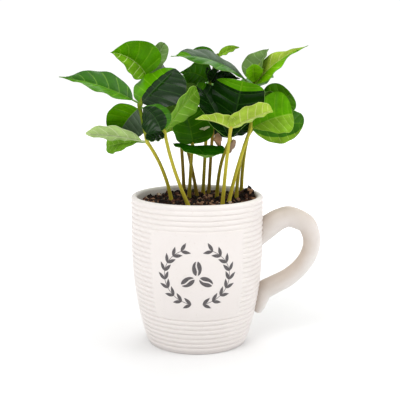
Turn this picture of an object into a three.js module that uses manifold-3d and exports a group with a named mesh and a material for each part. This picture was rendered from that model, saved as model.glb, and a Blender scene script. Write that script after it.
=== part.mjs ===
// Coffee seedlings in a ribbed ceramic mug: the mug with its half-heart handle, the soil in it,
// and a clump of twelve seedlings, each a stem and the leaves it carries.
// Millimetres, +Z up. The mug's axis is Z, it stands on z = 0 and its handle points along +X.
import * as THREE from 'three';
import { mergeVertices } from 'three/addons/utils/BufferGeometryUtils.js';
import Module from 'manifold-3d';

const wasm = await Module();
wasm.setup();

// Driving dimensions
const clear = 0.3;
const mug = {
  height: 102.3,
  radius: 45,
  footRadius: 33,
  taper: 10.6,
  taperHeight: 70,
  taperPower: 2.1,
  wall: 4.2,
  wallRings: [92, 70, 45, 25],
  floor: 6,
  floorRound: 8,
  lipRound: 2.1,
  lipTurn: 45,
  sides: 30,
};
const rib = { count: 29, pitch: 3.35, depth: 0.5, top: 98.6 };
const panel = { halfAngle: 42, bottom: 27.5, top: 85 };
const handle = { depth: 13, width: 11.6, sides: 7, steps: 22, wallRings: 7, wallSides: 60 };
const handleLine = [
  [37, 71.5], [50, 81], [64, 86.8], [75.5, 80.5], [78.8, 68], [71.7, 51.7], [53, 38.4], [38, 29],
];
const soil = { level: 97.3, rings: 6, sides: 20 };
const mounds = [
  { x: 32, y: 18, height: 2.6, reach: 15 },
  { x: -9, y: 36, height: 1.6, reach: 12 },
];
const stem = {
  foot: 1.25,
  tip: 1.05,
  flare: 0.3,
  flareHeight: 4,
  levelShare: 1 / 3,
  bend: [0.4, 0.55],
  neck: 3,
  sides: 7,
  steps: 6,
};
const shoot = { foot: 1.05, tip: 0.75, sides: 6, bud: 2.5 };
const stalk = { halfWidth: 0.8, thick: 1.5 };
const blade = { thick: 0.6, along: 6, across: 4, leastHalfWidth: 0.5 };

// Leaf kinds: rounded and paddle-shaped seed leaves, pointed true leaves and young leaves.
// Angles in degrees: bend is what the midrib turns down from node to tip, roll turns the blade about
// its midrib, fold lifts each half off the flat and curl bends the halves on towards their margins.
const leafKinds = {
  seed: { width: 32, stalk: 2, bend: 20, roll: 0, fold: 8, curl: 10, baseFull: 0.45, tipFull: 0.55 },
  paddle: { width: 30, stalk: 1, bend: 20, roll: 0, fold: 8, curl: 5, baseFull: 1, tipFull: 0.4 },
  grown: { width: 23, stalk: 5, bend: 35, roll: 0, fold: 14, curl: -8, baseFull: 0.85, tipFull: 1.1 },
  young: { width: 13, stalk: 1, bend: 20, roll: 0, fold: 25, curl: 5, baseFull: 0.75, tipFull: 0.9 },
};

// Each seedling: where its stem leaves the soil, where the stem bends as shares of its way to the
// lowest leaf node, along and up, then its leaf nodes and at each the leaves with their tips' places.
const seedlings = [
  {
    name: 'left_front',
    foot: [-17.5, 2],
    bend: [0.25, 0.55],
    nodes: [
      {
        at: [-32, -25, 140.5],
        leaves: [
          {
            kind: 'seed', tip: [-72, -22, 145.5], width: 23, stalk: 4, roll: 30, fold: 5,
            curl: 0, baseFull: 0.7, tipFull: 0.7,
          },
          { kind: 'paddle', tip: [-60, -10, 136], width: 14, stalk: 7, roll: -65 },
        ],
      },
      {
        at: [-36.5, -25, 163],
        leaves: [
          { kind: 'seed', tip: [-52, -16, 143], width: 27, bend: 30, roll: -120, baseFull: 0.45 },
          {
            kind: 'paddle', tip: [-22, -47, 150], width: 20, stalk: 4, bend: 55, roll: 50,
            curl: -15,
          },
        ],
      },
      {
        at: [-36, -25, 165],
        leaves: [
          {
            kind: 'grown', tip: [-86, -36, 182.5], width: 24, stalk: 6, bend: 25, roll: -36,
            fold: 20, baseFull: 0.7,
          },
          {
            kind: 'seed', tip: [-14, -12, 187], width: 43, stalk: 1, bend: 5, roll: 20,
            fold: 0, curl: -20, baseFull: 0.5,
          },
        ],
      },
      {
        at: [-33.5, 3, 182],
        leaves: [
          {
            kind: 'young', tip: [-56.5, -7, 197.5], width: 34, bend: 60, roll: -80, fold: 35,
            baseFull: 0.4, tipFull: 0.9,
          },
          { kind: 'young', tip: [-22, 19, 204], bend: 2, roll: 55, baseFull: 0.55, tipFull: 0.45 },
        ],
      },
    ],
  },
  {
    name: 'middle_front',
    foot: [-5.5, -18],
    bend: [0.75, 0.55],
    nodes: [
      {
        at: [-20.5, -30, 147.5],
        leaves: [
          {
            kind: 'paddle', tip: [0, -24, 174], width: 36, bend: 20, roll: -35, fold: -10,
            curl: 0,
          },
          {
            kind: 'seed', tip: [-32, -36, 143.5], width: 11, stalk: 1, bend: 2, roll: -35,
            fold: 0,
          },
        ],
      },
    ],
  },
  {
    name: 'left_back',
    foot: [-9.5, 34],
    nodes: [
      {
        at: [-12, 36, 142],
        leaves: [
          { kind: 'seed', tip: [-2, 74, 147], bend: 30 },
          { kind: 'seed', tip: [-44, 41, 148], width: 28 },
        ],
      },
      {
        at: [-13, 38, 165],
        leaves: [
          { kind: 'grown', tip: [-33, 42, 194], width: 27, bend: 20 },
          { kind: 'grown', tip: [-18, 79, 181] },
        ],
      },
    ],
  },
  {
    name: 'left_inner',
    foot: [0, 19],
    nodes: [
      {
        at: [-10.5, 14, 146],
        leaves: [
          { kind: 'paddle', tip: [-8, 2, 177], width: 27, bend: 2, roll: 15, baseFull: 0.65 },
          { kind: 'seed', tip: [-32, 5, 145.5], width: 10, stalk: 3, roll: 50, fold: 0 },
        ],
      },
    ],
  },
  {
    name: 'middle_low',
    foot: [-5.5, 12.5],
    nodes: [
      {
        at: [-3, -2, 136],
        leaves: [
          {
            kind: 'seed', tip: [-10, 4, 163], width: 33, stalk: 1, bend: 30, roll: -15,
            baseFull: 0.3,
          },
          {
            kind: 'seed', tip: [6, -33, 131.5], width: 35, roll: -5, stalk: 4, fold: 2,
            curl: 7, baseFull: 0.35,
          },
        ],
      },
    ],
  },
  {
    name: 'middle_tall',
    foot: [4.2, 27],
    nodes: [
      {
        at: [9, 18, 177],
        leaves: [
          {
            kind: 'grown', tip: [-11.5, 6, 184], width: 21, stalk: 2, bend: 50, roll: -120,
            fold: 5,
          },
          { kind: 'grown', tip: [29, 10, 180], width: 12, stalk: 1, bend: 25, roll: 60, fold: 30 },
        ],
      },
      {
        at: [13.5, 16, 194.5],
        leaves: [
          { kind: 'young', tip: [-4, 24, 199], width: 8, roll: -50, fold: 35 },
          { kind: 'young', tip: [28.5, 12, 201], width: 7, roll: 60 },
        ],
      },
    ],
  },
  {
    name: 'middle_back',
    foot: [8.4, 31],
    nodes: [
      {
        at: [11, 38, 139],
        leaves: [
          { kind: 'seed', tip: [42, 50, 145], width: 21, bend: 30, roll: 45 },
          { kind: 'seed', tip: [-2, 73, 129], bend: 30 },
        ],
      },
      {
        at: [12, 40, 160],
        leaves: [
          { kind: 'grown', tip: [25, 80, 179], bend: 45 },
        ],
      },
    ],
  },
  {
    name: 'right_inner',
    foot: [13.8, 12.5],
    bend: [0.1, 0.6],
    nodes: [
      {
        at: [22, -10, 140.5],
        leaves: [
          {
            kind: 'seed', tip: [1, 5, 177.5], width: 26, bend: 5, roll: -20, fold: 12,
            baseFull: 0.6, tipFull: 0.7,
          },
          {
            kind: 'paddle', tip: [30, -9, 179], width: 43, bend: 2, roll: 45, fold: 3,
            tipFull: 0.25,
          },
        ],
      },
    ],
  },
  {
    name: 'right_front',
    foot: [17, -15],
    nodes: [
      {
        at: [21.5, -34, 150.5],
        leaves: [
          {
            kind: 'seed', tip: [-1, -38, 156.5], width: 19, stalk: 1, bend: 40, roll: 20,
            fold: 15, baseFull: 0.12, tipFull: 0.9,
          },
          {
            kind: 'seed', tip: [47, -38, 162], width: 24, stalk: 1, bend: 15, roll: -25,
            baseFull: 0.2, tipFull: 0.2,
          },
        ],
      },
    ],
  },
  {
    name: 'right_tall',
    foot: [21, -12],
    nodes: [
      {
        at: [36, -1, 147],
        leaves: [
          { kind: 'paddle', tip: [64, 1, 157], width: 34, bend: 25, roll: 55, fold: 15 },
        ],
      },
      {
        at: [38, 9, 174],
        leaves: [
          {
            kind: 'grown', tip: [73.5, 0, 202], width: 22, stalk: 3, bend: 40, roll: 40,
            fold: 10, baseFull: 0.8, tipFull: 1.8,
          },
          {
            kind: 'grown', tip: [-17, -14, 195], width: 21, stalk: 7, bend: 55, roll: -32,
            fold: 0, curl: 0, baseFull: 1.1, tipFull: 0.9,
          },
        ],
      },
      {
        at: [38.5, 11, 176.5],
        leaves: [
          { kind: 'young', tip: [49, 20, 200], width: 25, bend: 35, roll: -5 },
          { kind: 'paddle', tip: [37, -4, 190], width: 13, bend: 5, roll: -165, fold: 20 },
        ],
      },
    ],
  },
  {
    name: 'right_low',
    foot: [27, 2.4],
    bend: [0.1, 0.7],
    nodes: [
      {
        at: [37, 14, 144],
        leaves: [
          { kind: 'seed', tip: [74, 19, 149], width: 31, roll: 125, fold: 5, baseFull: 0.75 },
        ],
      },
    ],
  },
  {
    name: 'right_back',
    foot: [31.2, 20],
    bend: [0.1, 0.75],
    nodes: [
      {
        at: [39.5, 31, 147.5],
        leaves: [
          { kind: 'paddle', tip: [66, 30, 169], width: 31, bend: 2, roll: 55 },
          { kind: 'seed', tip: [60, 66, 150], bend: 30 },
        ],
      },
      {
        at: [32.5, 29, 166],
        leaves: [
          { kind: 'grown', tip: [56, 64, 180], bend: 40 },
          { kind: 'grown', tip: [64, 32, 167], width: 15 },
        ],
      },
    ],
  },
];

const materials = {
  ceramic: new THREE.MeshStandardMaterial({ color: 0xf4f0ed, roughness: 0.35, metalness: 0 }),
  soil: new THREE.MeshStandardMaterial({ color: 0x2a1f18, roughness: 1, metalness: 0 }),
  stem: new THREE.MeshStandardMaterial({ color: 0x8c8431, roughness: 0.6, metalness: 0 }),
  leaf: new THREE.MeshStandardMaterial({ color: 0x3a7000, roughness: 0.35, metalness: 0 }),
};

const radians = THREE.MathUtils.degToRad;
const up = new THREE.Vector3(0, 0, 1);
// A direction that no stem or shoot runs along, from which their sections are set out.
const sectionStart = new THREE.Vector3(0, 1, 0.1);

// A closed geometry as a solid for joining and cutting.
function toSolid(geometry) {
  const bare = geometry.clone();
  bare.deleteAttribute('normal');
  bare.deleteAttribute('uv');
  const merged = mergeVertices(bare, 1e-4);
  return new wasm.Manifold(new wasm.Mesh({
    numProp: 3,
    vertProperties: new Float32Array(merged.attributes.position.array),
    triVerts: new Uint32Array(merged.index.array),
  }));
}

// The main body of a joined solid, with the hollows that joining sealed filled in.
function mainBody(solid) {
  return solid.decompose().reduce((main, body) => (body.volume() > main.volume() ? body : main));
}

function fromSolid(solid) {
  const mesh = solid.getMesh();
  const geometry = new THREE.BufferGeometry();
  geometry.setAttribute('position', new THREE.BufferAttribute(mesh.vertProperties, 3));
  geometry.setIndex(new THREE.BufferAttribute(mesh.triVerts, 1));
  geometry.computeVertexNormals();
  return geometry;
}

// Moves every vertex of a geometry to the place that the rule gives for it.
function reshape(geometry, rule) {
  const position = geometry.attributes.position;
  const point = new THREE.Vector3();
  for (let i = 0; i < position.count; i += 1) {
    point.fromBufferAttribute(position, i);
    const moved = rule(point);
    position.setXYZ(i, moved.x, moved.y, moved.z);
  }
  geometry.computeVertexNormals();
  return geometry;
}

function named(name, geometry, material) {
  const mesh = new THREE.Mesh(geometry, material);
  mesh.name = name;
  return mesh;
}

// Mug: the outer radius over the rib crests, at a height.
function bodyRadius(z) {
  const short = Math.max(0, 1 - z / mug.taperHeight);
  return mug.radius - mug.taper * short ** mug.taperPower;
}

function innerRadius(z) {
  const low = Math.max(0, mug.floor + mug.floorRound - z);
  const round = mug.floorRound - Math.sqrt(Math.max(0, mug.floorRound ** 2 - low ** 2));
  return bodyRadius(z) - mug.wall - round;
}

// A lathed profile turned so that its axis is Z. The profile's points are radius and height.
function lathe(points, sides) {
  const profile = points.map(([radius, z]) => new THREE.Vector2(radius, z));
  return new THREE.LatheGeometry(profile, sides).rotateX(Math.PI / 2);
}

function ribProfile() {
  const points = [];
  for (let i = rib.count; i > 0; i -= 1) {
    const groove = rib.top - i * rib.pitch;
    const crest = groove + rib.pitch / 2;
    points.push([bodyRadius(groove) - rib.depth, groove]);
    points.push([bodyRadius(crest), crest]);
  }
  return points;
}

function lipProfile() {
  const centre = mug.radius - mug.lipRound;
  const height = mug.height - mug.lipRound;
  const points = [];
  for (let turn = 0; turn <= 180; turn += mug.lipTurn) {
    const out = mug.lipRound * Math.cos(radians(turn));
    const rise = mug.lipRound * Math.sin(radians(turn));
    points.push([centre + out, height + rise]);
  }
  return points;
}

// The inner wall from the top down, drawn in by a gap, with the round into the floor.
function innerProfile(gap) {
  const roundHeights = [mug.floor + mug.floorRound, mug.floor + mug.floorRound / 3, mug.floor];
  return [...mug.wallRings, ...roundHeights].map((z) => [innerRadius(z) - gap, z]);
}

function mugBody() {
  const outline = [
    [0, 0],
    [mug.footRadius, 0],
    ...ribProfile(),
    ...lipProfile(),
    ...innerProfile(0),
    [0, mug.floor],
  ];
  return reshape(lathe(outline, mug.sides), smoothPanel);
}

// The label panel on the front, where the ribs stop and the wall is smooth.
function smoothPanel(p) {
  const radius = Math.hypot(p.x, p.y);
  const turn = Math.abs(Math.atan2(p.x, -p.y));
  const onOutside = radius > bodyRadius(p.z) - 2 * rib.depth;
  const onPanel = turn < radians(panel.halfAngle) && p.z > panel.bottom && p.z < panel.top;
  if (!onOutside || !onPanel) {
    return p;
  }
  const scale = bodyRadius(p.z) / radius;
  return new THREE.Vector3(p.x * scale, p.y * scale, p.z);
}

// The handle is a bent oval bar, cut off where it meets the mug's wall.
function mugHandle() {
  const line = new THREE.CatmullRomCurve3(handleLine.map(([x, z]) => new THREE.Vector3(x, 0, z)));
  const section = new THREE.Shape();
  section.absellipse(0, 0, handle.width / 2, handle.depth / 2, 0, 2 * Math.PI);
  const bar = new THREE.ExtrudeGeometry(section, {
    extrudePath: line,
    steps: handle.steps,
    curveSegments: handle.sides,
    bevelEnabled: false,
  });
  const wall = [[0, 0]];
  for (let i = 0; i < handle.wallRings; i += 1) {
    const z = (mug.height * i) / (handle.wallRings - 1);
    wall.push([bodyRadius(z) + clear, z]);
  }
  wall.push([0, mug.height]);
  const body = lathe(wall, handle.wallSides);
  return fromSolid(toSolid(bar).subtract(toSolid(body)));
}

// Soil
function soilHeight(x, y) {
  let height = soil.level;
  for (const mound of mounds) {
    const away = Math.hypot(x - mound.x, y - mound.y) / mound.reach;
    height += mound.height * Math.exp(-(away ** 2));
  }
  return height;
}

function soilFill() {
  const wall = innerProfile(clear).reverse();
  wall[0][1] += clear;
  const rim = innerRadius(soil.level) - clear;
  const outline = [[0, mug.floor + clear], ...wall];
  for (let i = 0; i <= soil.rings; i += 1) {
    outline.push([rim * (1 - i / soil.rings), soil.level]);
  }
  return reshape(lathe(outline, soil.sides), (p) => {
    const onTop = p.z > soil.level - clear;
    return new THREE.Vector3(p.x, p.y, onTop ? soilHeight(p.x, p.y) : p.z);
  });
}

// A tapering round bar bent along a curve. Its foot can be cut level.
function bar(curve, rootRadius, tipRadius, sides, steps, options = {}) {
  const geometry = new THREE.CylinderGeometry(tipRadius, rootRadius, 1, sides, steps);
  const length = curve.getLength();
  return reshape(geometry, (p) => {
    const t = THREE.MathUtils.clamp(p.y + 0.5, 0, 1);
    const square = options.levelFoot ? Math.min(1, t / stem.levelShare) : 1;
    const axis = up.clone().lerp(curve.getTangentAt(t), square).normalize();
    const side = sectionStart.clone().cross(axis).normalize();
    const front = axis.clone().cross(side);
    const swell = 1 + (options.flare ?? 0) * Math.exp((-t * length) / stem.flareHeight);
    return curve.getPointAt(t).addScaledVector(side, p.z * swell).addScaledVector(front, p.x * swell);
  });
}

function vector(values) {
  return new THREE.Vector3(...values);
}

// The highest soil under a stem's flared foot.
function groundUnder([x, y]) {
  const reach = stem.foot * (1 + stem.flare);
  let ground = soilHeight(x, y);
  for (let i = 0; i < stem.sides; i += 1) {
    const turn = (2 * Math.PI * i) / stem.sides;
    ground = Math.max(ground, soilHeight(x + reach * Math.cos(turn), y + reach * Math.sin(turn)));
  }
  return ground;
}

// The stem's line, from the soil to just under the lowest leaf node.
function stemLine(seedling) {
  const foot = vector([...seedling.foot, groundUnder(seedling.foot) + clear]);
  const node = vector(seedling.nodes[0].at);
  const [along, height] = seedling.bend ?? stem.bend;
  const bend = foot.clone().lerp(node, along);
  bend.z = foot.z + height * (node.z - foot.z);
  const tip = node.clone().addScaledVector(node.clone().sub(bend).normalize(), -stem.neck);
  return new THREE.QuadraticBezierCurve3(foot, bend, tip);
}

function stemBar(seedling) {
  const options = { levelFoot: true, flare: stem.flare };
  return bar(stemLine(seedling), stem.foot, stem.tip, stem.sides, stem.steps, options);
}

// The shoot's line goes on from the stem's tip through the leaf nodes and ends in a bud.
function shootBar(seedling) {
  const line = stemLine(seedling);
  const start = line.v2.clone().addScaledVector(line.getTangentAt(1), clear);
  const points = [start, ...seedling.nodes.map((node) => vector(node.at))];
  const last = points.at(-1).clone().sub(points.at(-2)).normalize();
  points.push(points.at(-1).clone().addScaledVector(last, shoot.bud));
  const curve = new THREE.CatmullRomCurve3(points, false, 'centripetal');
  return bar(curve, shoot.foot, shoot.tip, shoot.sides, points.length + 1);
}

// A leaf's midrib is one arc in an upright plane, from its node to its tip, and begins with the stalk.
// Gives the point and axes on it at a share of the blade's length.
function midrib(at, leaf, share) {
  const point = vector(at);
  const chord = vector(leaf.tip).sub(point);
  const reach = chord.length();
  const halfBend = radians(leaf.bend) / 2;
  const radius = reach / (2 * Math.sin(halfBend));
  const slope = Math.asin(chord.z / reach) + halfBend;
  const stalkShare = leaf.stalk / (2 * halfBend * radius);
  const pitch = slope - 2 * halfBend * (stalkShare + (1 - stalkShare) * share);
  const ahead = new THREE.Vector3(chord.x, chord.y, 0).normalize();
  point.addScaledVector(ahead, radius * (Math.sin(slope) - Math.sin(pitch)));
  point.addScaledVector(up, radius * (Math.cos(pitch) - Math.cos(slope)));
  const level = up.clone().cross(ahead);
  const along = ahead.multiplyScalar(Math.cos(pitch)).addScaledVector(up, Math.sin(pitch));
  const normal = along.cross(level);
  const roll = radians(leaf.roll);
  const side = level.clone().multiplyScalar(Math.cos(roll)).addScaledVector(normal, Math.sin(roll));
  const top = normal.multiplyScalar(Math.cos(roll)).addScaledVector(level, -Math.sin(roll));
  return { point, side, top };
}

function halfWidth(leaf, share) {
  const widest = leaf.baseFull / (leaf.baseFull + leaf.tipFull);
  const base = (share / widest) ** leaf.baseFull;
  const tip = ((1 - share) / (1 - widest)) ** leaf.tipFull;
  return Math.max(blade.leastHalfWidth, (leaf.width / 2) * base * tip);
}

// A leaf is one bent slab: its first step is the stalk, from the node to the blade's base.
function leafSlab(at, leaf) {
  const box = new THREE.BoxGeometry(2, 1, 1, blade.across, blade.along + 1, 1);
  return reshape(box, (p) => {
    const step = Math.round((p.y + 0.5) * (blade.along + 1)) - 1;
    const onStalk = step <= 0;
    const share = onStalk ? 0 : (1 - Math.cos((Math.PI * step) / blade.along)) / 2;
    const { point, side, top } = midrib(at, leaf, share);
    if (step < 0) {
      point.copy(vector(at));
    }
    const out = Math.abs(p.x);
    const reach = out * (onStalk ? stalk.halfWidth : halfWidth(leaf, share));
    const above = p.z * (onStalk ? stalk.thick : blade.thick);
    const lift = radians(leaf.fold + (leaf.curl * out) / 2);
    const lean = radians(leaf.fold + leaf.curl * out);
    const sign = -Math.sign(p.x);
    return point
      .addScaledVector(side, sign * (reach * Math.cos(lift) - above * Math.sin(lean)))
      .addScaledVector(top, reach * Math.sin(lift) + above * Math.cos(lean));
  });
}

function leafMass(seedling) {
  let mass = toSolid(shootBar(seedling));
  for (const node of seedling.nodes) {
    for (const values of node.leaves) {
      const leaf = { ...leafKinds[values.kind], ...values };
      mass = mass.add(toSolid(leafSlab(node.at, leaf)));
    }
  }
  return fromSolid(mainBody(mass));
}

const plant = new THREE.Group();
plant.add(named('mug_body', mugBody(), materials.ceramic));
plant.add(named('mug_handle', mugHandle(), materials.ceramic));
plant.add(named('soil', soilFill(), materials.soil));
for (const seedling of seedlings) {
  plant.add(named(`stem_${seedling.name}`, stemBar(seedling), materials.stem));
  plant.add(named(`leaves_${seedling.name}`, leafMass(seedling), materials.leaf));
}

export default plant;
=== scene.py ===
# Coffee seedlings in a ribbed ceramic mug
import math

import bmesh
import bpy
import numpy as np
from mathutils import Euler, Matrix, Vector, noise


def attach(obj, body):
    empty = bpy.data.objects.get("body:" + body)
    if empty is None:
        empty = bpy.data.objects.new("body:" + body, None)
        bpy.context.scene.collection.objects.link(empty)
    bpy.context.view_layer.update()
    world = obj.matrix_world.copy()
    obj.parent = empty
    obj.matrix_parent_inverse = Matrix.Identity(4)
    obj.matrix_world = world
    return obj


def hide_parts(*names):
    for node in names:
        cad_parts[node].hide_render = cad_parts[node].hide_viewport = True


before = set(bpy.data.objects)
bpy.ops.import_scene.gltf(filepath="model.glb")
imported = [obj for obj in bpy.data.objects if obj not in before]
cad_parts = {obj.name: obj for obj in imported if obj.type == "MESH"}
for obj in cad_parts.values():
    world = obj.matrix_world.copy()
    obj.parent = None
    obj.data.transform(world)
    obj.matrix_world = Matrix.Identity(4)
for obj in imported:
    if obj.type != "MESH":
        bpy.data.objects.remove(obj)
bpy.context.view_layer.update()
mm = 0.001  # sizes below are in millimetres, Blender's are metres
print("frame loaded:", len(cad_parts), "solids")


# Camera

view = {
    "place": (1.97, -560.5, 197.3),
    "pitch": 10.02,  # degrees below level
    "lens": 75.0,
    "sensor": 36.0,
    "nearest": 10.0,
}


def placed(name, data):  # a new object in the scene
    thing = bpy.data.objects.new(name, data)
    bpy.context.scene.collection.objects.link(thing)
    return thing


def setCamera():
    lens = bpy.data.cameras.new("camera")
    lens.lens = view["lens"]
    lens.sensor_width = view["sensor"]
    lens.clip_start = view["nearest"] * mm
    camera = placed("camera", lens)
    camera.location = Vector(view["place"]) * mm
    camera.rotation_euler = (math.radians(90 - view["pitch"]), 0, 0)
    bpy.context.scene.camera = camera
    print("camera set")


setCamera()


# Shader maths

def tint(red, green, blue):  # a screen colour, 0 to 255, as Blender's linear one
    screen = np.array([red, green, blue]) / 255
    linear = np.where(screen <= 0.04045, screen / 12.92, ((screen + 0.055) / 1.055) ** 2.4)
    return np.append(linear, 1.0)


def between(low, high, share):  # of numbers, wires or colours
    return low + (high - low) * share


class Wire:
    def __init__(self, sheet, socket):
        self.sheet = sheet
        self.socket = socket

    def maths(self, operation, first, second):
        return self.sheet.add("ShaderNodeMath", {0: first, 1: second}, operation=operation)

    def __add__(self, other):
        return self.maths("ADD", self, other)

    def __sub__(self, other):
        return self.maths("SUBTRACT", self, other)

    def __rsub__(self, other):
        return self.maths("SUBTRACT", other, self)

    def __mul__(self, other):
        return self.maths("MULTIPLY", self, other)

    __radd__ = __add__
    __rmul__ = __mul__


class Sheet:
    def __init__(self, tree):
        self.tree = tree
        tree.nodes.clear()

    def feed(self, socket, value):
        if isinstance(value, Wire):
            self.tree.links.new(value.socket, socket)
        else:
            socket.default_value = value

    def pick(self, sockets, key):
        if isinstance(key, int):
            return sockets[key]
        return next(s for s in sockets if key in (s.identifier, s.name) and s.enabled)

    def add(self, kind, inputs=None, out=0, **settings):
        node = self.tree.nodes.new(kind)
        for key, value in settings.items():
            setattr(node, key, value)
        for key, value in (inputs or {}).items():
            self.feed(self.pick(node.inputs, key), value)
        return Wire(self, self.pick(node.outputs, out))

    def place(self):
        return self.add("ShaderNodeTexCoord", out="Object")

    def grain(self, scale, detail, rough):  # scale is in ripples a metre
        values = {"Vector": self.place(), "Scale": scale, "Detail": detail, "Roughness": rough}
        return self.add("ShaderNodeTexNoise", values)

    def span(self, value, low, high, kind="LINEAR"):  # 0 up to low, 1 from high on
        values = {"Value": value, "From Min": low, "From Max": high}
        return self.add("ShaderNodeMapRange", values, interpolation_type=kind)

    def mix(self, share, first, second):
        values = {"Factor_Float": share, "A_Color": first, "B_Color": second}
        return self.add("ShaderNodeMix", values, "Result_Color", data_type="RGBA")

    def fade(self, value, span, tones):  # from one tone to the other over a span of values
        return self.mix(self.span(value, *span), *tones)

    def bump(self, height, depth, strength):  # depth is in millimetres
        values = {"Height": height, "Distance": depth * mm, "Strength": strength}
        return self.add("ShaderNodeBump", values, "Normal")


class Finish(Sheet):
    def __init__(self, name, shine):
        self.material = bpy.data.materials.new(name)
        self.material.use_nodes = True
        super().__init__(self.material.node_tree)
        self.shader = self.tree.nodes.new("ShaderNodeBsdfPrincipled")
        output = self.tree.nodes.new("ShaderNodeOutputMaterial")
        self.tree.links.new(self.shader.outputs[0], output.inputs["Surface"])
        self.set("Specular IOR Level", shine)

    def set(self, socket, value):
        self.feed(self.shader.inputs[socket], value)


# Meshes

class Shape:
    def __init__(self):
        self.points = []
        self.faces = []
        self.paints = []
        self.count = 0

    def take(self, points, faces, paint=0):  # paint: one finish for all faces, or one for each
        self.points.append(np.asarray(points, float).reshape(-1, 3))
        self.faces += [tuple(int(i) + self.count for i in face) for face in faces]
        self.paints += [paint] * len(faces) if np.isscalar(paint) else list(paint)
        self.count += len(self.points[-1])

    def dress(self, name, slot, finishes, replaces=(), sharp=50):  # edges over sharp degrees stay crisp
        mesh = bpy.data.meshes.new(name)
        mesh.from_pydata((np.concatenate(self.points) * mm).tolist(), [], self.faces)
        for finish in finishes:
            mesh.materials.append(finish.material)
        mesh.polygons.foreach_set("material_index", self.paints)
        mesh.polygons.foreach_set("use_smooth", [True] * len(self.faces))
        mesh.update()
        mesh.set_sharp_from_angle(angle=math.radians(sharp))
        piece = placed(name, mesh)
        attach(piece, "root")
        if replaces:
            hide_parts(*replaces)
        return piece


def unit(ways):
    return ways / np.linalg.norm(ways, axis=-1, keepdims=True)


def roundTurns(sides):  # angles once round, in radians
    return np.linspace(0, 2 * math.pi, sides, endpoint=False)


def ringFaces(rings, sides):  # quads between rings of points, and a cap on the first and last ring
    faces = []
    for ring in range(rings - 1):
        for side in range(sides):
            a = ring * sides + side
            b = ring * sides + (side + 1) % sides
            faces.append((a, b, b + sides, a + sides))
    last = (rings - 1) * sides
    faces.append(tuple(reversed(range(sides))))
    faces.append(tuple(range(last, last + sides)))
    return faces


def tube(line, radii, sides):  # a closed round bar along a line of points
    line = np.asarray(line, float)
    ways = unit(np.gradient(line, axis=0))
    aside = (0.1, 1.0, 0.3)  # no bar here starts this way
    side = np.cross(ways[0], aside)
    turns = roundTurns(sides)[:, None]
    rings = []
    for point, way, radius in zip(line, ways, radii):
        side = unit(side - way * side.dot(way))
        front = np.cross(way, side)
        rings.append(point + radius * (np.cos(turns) * side + np.sin(turns) * front))
    return np.concatenate(rings), ringFaces(len(line), sides)


def smoothLine(points, steps):  # a curve through points of any number of values, even in its parameter
    points = np.asarray(points, float)
    ends = np.vstack([2 * points[0] - points[1], points, 2 * points[-1] - points[-2]])
    line = []
    for i in range(1, len(ends) - 2):
        a, b, c, d = ends[i - 1:i + 3]
        for t in np.arange(steps) / steps:
            line.append(0.5 * (2 * b + (c - a) * t + (2 * a - 5 * b + 4 * c - d) * t ** 2
                               + (3 * b - a - 3 * c + d) * t ** 3))
    line.append(points[-1])
    return np.array(line)


# Mug

mug = {
    "height": 102.3,
    "radius": 45.0,
    "taper": 10.6,
    "taperHeight": 70.0,
    "taperPower": 2.1,
    "foot": [(0.01, 0.6), (22.0, 0.6), (29.5, 0.5), (30.6, 0.12), (31.2, 0.0), (33.0, 0.0),
             (33.7, 0.2), (34.0, 0.7)],  # radius and height, from the middle out
    "wall": 4.2,
    "floor": 6.0,
    "floorRound": 8.0,
    "floorTurns": (10, 90, 8),  # degrees round the inner corner, and steps
    "floorMiddle": (20.0, 0.01),  # radii of the last rings
    "innerTop": 97.0,
    "innerRows": 24,
    "lipRound": 2.1,
    "lipSteps": 15,
    "sides": 288,
    "ribCount": 29,
    "ribPitch": 3.35,
    "ribTop": 98.6,
    "ribDepth": 0.8,
    "ribPower": 2.6,  # higher makes the grooves narrower
    "ribRows": 10,
    "panelHalfAngle": 42.0,
    "panelBottom": 27.5,
    "panelTop": 85.0,
    "panelBorder": 1.6,
    "glaze": (tint(225, 218, 214), tint(232, 226, 223)),
    "shine": 0.5,
    "rough": (0.3, 0.46),  # least and most
    "cloud": (45.0, 4.0, 0.6),  # a grain's scale, detail and roughness
    "speck": (900.0, 2.0, 0.4),
    "speckSpan": (0.27, 0.33),
    "speckTone": tint(204, 192, 182),
    "speckShare": 0.25,
    "relief": (0.12, 0.35),  # a bump's depth and strength
    "speckRelief": 0.3,  # the specks' share in it
}
handle = {
    "line": [(36, 69.8, 8, 6.4), (41, 73.8, 8, 6.4), (45.6, 77.4, 8, 6.3), (51.6, 82, 7.8, 6.1),
             (57.5, 85.4, 7.4, 5.9), (64, 86.6, 7.2, 5.8), (74.1, 82.2, 6.6, 5.8), (78, 75.3, 6.2, 5.8),
             (78.9, 68, 6, 5.8), (76.9, 59.9, 5.9, 5.8), (71.7, 51.7, 5.9, 5.8), (63.2, 44, 6.2, 5.9),
             (53, 38.4, 6.5, 6), (46.2, 34.3, 6.6, 6.2), (43.8, 28, 5.6, 6), (42.9, 22.8, 4.4, 5.2),
             (42.6, 19.4, 2.4, 3.4), (42.5, 18.3, 0.9, 1.2)],  # x, z, half its depth, half its width
    "steps": 9,
    "sides": 40,
    # the handle's tones are painted shade and painted light: darker than the mug's own glaze, and lighter
    # where its surface faces the pale way
    "glaze": (tint(193, 180, 168), tint(222, 216, 212)),
    "pale": (0.62, 0.0, -0.78),  # the way its side with painted light faces; the side facing away has painted shade
    "lean": 0.8,
}


def bodyRadius(z):  # over the rib crests
    low = np.maximum(0, 1 - np.asarray(z, float) / mug["taperHeight"])
    return mug["radius"] - mug["taper"] * low ** mug["taperPower"]


def innerRadius(z):
    low = np.maximum(0, mug["floor"] + mug["floorRound"] - np.asarray(z, float))
    inset = mug["floorRound"] - np.sqrt(np.maximum(0, mug["floorRound"] ** 2 - low ** 2))
    return bodyRadius(z) - mug["wall"] - inset


def easeIn(value):
    value = np.clip(value, 0, 1)
    return value * value * (3 - 2 * value)


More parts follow.
